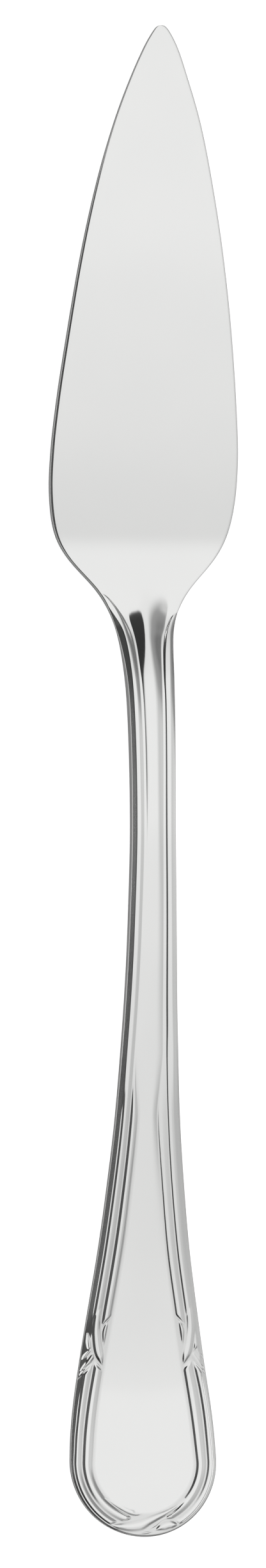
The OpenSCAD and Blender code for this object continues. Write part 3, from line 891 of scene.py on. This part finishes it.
def polishing_marks():
    """Fine marks that run along the knife, as a mask from 0 to 1."""
    group, given, out = new_group(
        "polishing_marks",
        [("Density", "NodeSocketFloat", 1.0), ("Length", "NodeSocketFloat", 1.0)],
        [("Mask", "NodeSocketFloat")],
    )
    nodes, links = group.nodes, group.links
    lay = nodes.new("ShaderNodeUVMap")
    lay.uv_map = "lay"
    parts = nodes.new("ShaderNodeSeparateXYZ")
    links.new(lay.outputs["UV"], parts.inputs[0])
    across = math_node(nodes, links, "MULTIPLY", parts.outputs["Y"], MARKS_ACROSS)
    across = math_node(nodes, links, "MULTIPLY", across, given.outputs["Density"])
    down = math_node(nodes, links, "MULTIPLY", parts.outputs["X"], MARKS_ALONG)
    down = math_node(nodes, links, "DIVIDE", down, given.outputs["Length"])
    joint = nodes.new("ShaderNodeCombineXYZ")
    links.new(down, joint.inputs["X"])
    links.new(across, joint.inputs["Y"])
    noise = nodes.new("ShaderNodeTexNoise")
    noise.inputs["Scale"].default_value = 1.0
    noise.inputs["Detail"].default_value = 3.0
    links.new(joint.outputs[0], noise.inputs["Vector"])
    links.new(noise.outputs["Fac"], out.inputs["Mask"])
    return group


def handling_marks():
    """Broad soft patches where the polish has dulled in use, as a mask from 0 to 1."""
    group, given, out = new_group(
        "handling_marks", [("Scale", "NodeSocketFloat", PATCHES_PER_M)], [("Mask", "NodeSocketFloat")])
    nodes, links = group.nodes, group.links
    place = nodes.new("ShaderNodeTexCoord")
    noise = nodes.new("ShaderNodeTexNoise")
    noise.inputs["Detail"].default_value = 2.0
    links.new(place.outputs["Object"], noise.inputs["Vector"])
    links.new(given.outputs["Scale"], noise.inputs["Scale"])
    links.new(noise.outputs["Fac"], out.inputs["Mask"])
    return group


MARKS, PATCHES = polishing_marks(), handling_marks()


def steel(name, tone, roughness, spread, mark_density):
    """Polished steel with marks along its length and dulled patches. It is rougher and painted a little
    darker as shade in the grooves and by the blade's heel, and more so on the side face, whose glancing
    reflections are also painted weaker as shade."""
    material = bpy.data.materials.new(name)
    material.use_nodes = True
    nodes, links = material.node_tree.nodes, material.node_tree.links
    shader = nodes["Principled BSDF"]
    shader.inputs["Metallic"].default_value = 1.0
    marks = nodes.new("ShaderNodeGroup")
    marks.node_tree = MARKS
    marks.inputs["Density"].default_value = mark_density
    patches = nodes.new("ShaderNodeGroup")
    patches.node_tree = PATCHES
    hollow, side_face = nodes.new("ShaderNodeAttribute"), nodes.new("ShaderNodeAttribute")
    hollow.attribute_name, side_face.attribute_name = "hollow", "side_face"

    rough = math_node(nodes, links, "MULTIPLY", marks.outputs["Mask"], spread)
    rough = math_node(nodes, links, "ADD", rough, roughness - spread / 2)
    dulled = math_node(nodes, links, "MULTIPLY", patches.outputs["Mask"], spread / 2)
    rough = math_node(nodes, links, "ADD", rough, dulled)
    hollow_rough = math_node(nodes, links, "MULTIPLY", hollow.outputs["Fac"], DULL_ROUGHNESS)
    rough = math_node(nodes, links, "ADD", rough, hollow_rough)
    satin = math_node(nodes, links, "MULTIPLY", side_face.outputs["Fac"], SIDE_ROUGHNESS)
    links.new(math_node(nodes, links, "ADD", rough, satin), shader.inputs["Roughness"])

    # Painted shade: the tone darkens in the grooves and by the blade's heel
    colour = nodes.new("ShaderNodeMix")
    colour.data_type = "RGBA"
    colour.inputs["A"].default_value = (*tone, 1)
    colour.inputs["B"].default_value = (*(PAINTED_SHADE_TONE * c for c in tone), 1)
    links.new(hollow.outputs["Fac"], colour.inputs["Factor"])
    tint = nodes.new("ShaderNodeMix")
    tint.data_type = "RGBA"
    tint.blend_type = "MULTIPLY"
    tint.inputs["B"].default_value = PATCH_TINT
    links.new(patches.outputs["Mask"], tint.inputs["Factor"])
    # Painted shade on the side face: its tone darkens
    side_shade = nodes.new("ShaderNodeMix")
    side_shade.data_type = "RGBA"
    side_shade.inputs["B"].default_value = (*(SIDE_SHADE_TONE * c for c in tone), 1)
    links.new(side_face.outputs["Fac"], side_shade.inputs["Factor"])
    links.new(colour.outputs["Result"], side_shade.inputs["A"])
    links.new(side_shade.outputs["Result"], tint.inputs["A"])
    links.new(tint.outputs["Result"], shader.inputs["Base Color"])
    # Painted shade on the side face: its glancing reflections are made weaker
    glancing = nodes.new("ShaderNodeMix")
    glancing.data_type = "RGBA"
    glancing.inputs["A"].default_value = (1, 1, 1, 1)
    glancing.inputs["B"].default_value = (SIDE_GLANCE, SIDE_GLANCE, SIDE_GLANCE, 1)
    links.new(side_face.outputs["Fac"], glancing.inputs["Factor"])
    links.new(glancing.outputs["Result"], shader.inputs["Specular Tint"])

    bump = nodes.new("ShaderNodeBump")
    bump.inputs["Strength"].default_value = MARK_STRENGTH
    bump.inputs["Distance"].default_value = MARK_DEPTH_M
    links.new(marks.outputs["Mask"], bump.inputs["Height"])
    links.new(bump.outputs["Normal"], shader.inputs["Normal"])
    return material


blade_steel = steel("blade_steel", STEEL_TONE, roughness=0.13, spread=0.05, mark_density=0.8)
handle_steel = steel("handle_steel", STEEL_TONE, roughness=0.11, spread=0.05, mark_density=1.0)
blade.data.materials.append(blade_steel)
for piece in (neck, stem, handle):
    piece.data.materials.append(handle_steel)

# Floor, light and camera

FLOOR_HALF_M, FLOOR_DROP_M = 30, 0.00002
FLOOR_TONE, FLOOR_GLOW = 0.86, 0.62
HALF_TURN = 180


def floor():
    """White floor that glows for the camera and in reflections, but lights nothing."""
    bm = bmesh.new()
    bmesh.ops.create_grid(bm, x_segments=1, y_segments=1, size=FLOOR_HALF_M)
    bmesh.ops.translate(bm, verts=bm.verts, vec=(0, 0, -FLOOR_DROP_M))
    mesh = bpy.data.meshes.new("floor")
    bm.to_mesh(mesh)
    bm.free()
    piece = bpy.data.objects.new("floor", mesh)
    bpy.context.scene.collection.objects.link(piece)
    material = bpy.data.materials.new("white_floor")
    material.use_nodes = True
    nodes, links = material.node_tree.nodes, material.node_tree.links
    shader = nodes["Principled BSDF"]
    shader.inputs["Base Color"].default_value = (FLOOR_TONE, FLOOR_TONE, FLOOR_TONE, 1)
    shader.inputs["Roughness"].default_value = 1.0
    shader.inputs["Specular IOR Level"].default_value = 0.0
    path = nodes.new("ShaderNodeLightPath")
    seen = math_node(nodes, links, "ADD", path.outputs["Is Camera Ray"], path.outputs["Is Glossy Ray"])
    seen = math_node(nodes, links, "ADD", seen, path.outputs["Is Transmission Ray"])
    shader.inputs["Emission Color"].default_value = (1, 1, 1, 1)
    links.new(math_node(nodes, links, "MULTIPLY", seen, FLOOR_GLOW), shader.inputs["Emission Strength"])
    mesh.materials.append(material)


def angle_from_up(nodes, links, parts, axis):
    """Angle of a direction from straight up, towards one side, in degrees."""
    angle = nodes.new("ShaderNodeMath")
    angle.operation = "ARCTAN2"
    links.new(parts.outputs[axis], angle.inputs[0])
    links.new(parts.outputs["Z"], angle.inputs[1])
    return math_node(nodes, links, "MULTIPLY", angle.outputs[0], HALF_TURN / math.pi)


def ramp(nodes, links, angle, stops):
    """Brightness by angle: stops of (degrees, brightness) from -90 to 90."""
    share = math_node(nodes, links, "MULTIPLY", angle, 1 / HALF_TURN)
    share = math_node(nodes, links, "ADD", share, 0.5)
    node = nodes.new("ShaderNodeValToRGB")
    node.color_ramp.interpolation = "EASE"
    while len(node.color_ramp.elements) < len(stops):
        node.color_ramp.elements.new(0.5)
    for element, (degrees, level) in zip(node.color_ramp.elements, stops):
        element.position = degrees / HALF_TURN + 0.5
        element.color = (level, level, level, 1)
    links.new(share, node.inputs[0])
    return node.outputs[0]


def studio():
    """Soft light from all round: bright overhead, dark low on the left, light grey low on the right and
    darker grey there towards the tip, and dimmer low down at both ends of the knife."""
    world = bpy.data.worlds.new("studio")
    bpy.context.scene.world = world
    world.use_nodes = True
    nodes, links = world.node_tree.nodes, world.node_tree.links
    way = nodes.new("ShaderNodeTexCoord")
    parts = nodes.new("ShaderNodeSeparateXYZ")
    links.new(way.outputs["Generated"], parts.inputs[0])
    sideways, lengthways = (angle_from_up(nodes, links, parts, axis) for axis in "XY")
    over_handle = ramp(nodes, links, sideways, [
        (-90, 0.2), (-68, 0.1), (-43, 0.1), (-36, 1.0), (24, 1.0), (48, 0.71), (66, 0.76), (90, 0.82)])
    over_neck = ramp(nodes, links, sideways, [
        (-90, 0.13), (-62, 0.045), (-43, 0.045), (-36, 1.0), (22, 1.0), (54, 0.4), (76, 0.34), (90, 0.36)])
    to_tip = ramp(nodes, links, lengthways, [(-90, 0), (18, 0), (42, 1), (90, 1)])
    across = nodes.new("ShaderNodeMix")
    across.data_type = "RGBA"
    links.new(to_tip, across.inputs["Factor"])
    links.new(over_handle, across.inputs["A"])
    links.new(over_neck, across.inputs["B"])
    along_y = ramp(nodes, links, lengthways, [
        (-90, 0.3), (-56, 0.38), (-36, 0.83), (-18, 0.87), (-12.8, 0.915), (-4, 0.94), (2, 1.0), (30, 1.0),
        (57, 0.9), (80, 0.55)])
    level = nodes.new("ShaderNodeMix")
    level.data_type = "RGBA"
    level.blend_type = "MULTIPLY"
    level.inputs["Factor"].default_value = 1.0
    links.new(across.outputs["Result"], level.inputs["A"])
    links.new(along_y, level.inputs["B"])
    background = nodes["Background"]
    links.new(level.outputs["Result"], background.inputs["Color"])
    background.inputs["Strength"].default_value = 1.0


def camera():
    """Long lens above the knife, tilted to the left, so that the photograph's frame is filled."""
    tilt = math.radians(12.5)
    frame_h, lens, sensor = 0.21617, 180.0, 36.0
    target = (-0.001217, -0.000569, -0.00027)
    distance = frame_h * lens / sensor
    data = bpy.data.cameras.new("camera")
    data.lens, data.sensor_width = lens, sensor
    data.clip_start, data.clip_end = 0.05, 100
    eye = bpy.data.objects.new("camera", data)
    bpy.context.scene.collection.objects.link(eye)
    eye.location = (
        target[0] - math.sin(tilt) * distance, target[1], target[2] + math.cos(tilt) * distance)
    eye.rotation_euler = (0, -tilt, 0)
    bpy.context.scene.camera = eye


floor()
studio()
camera()
bpy.context.scene.view_settings.view_transform = "Standard"
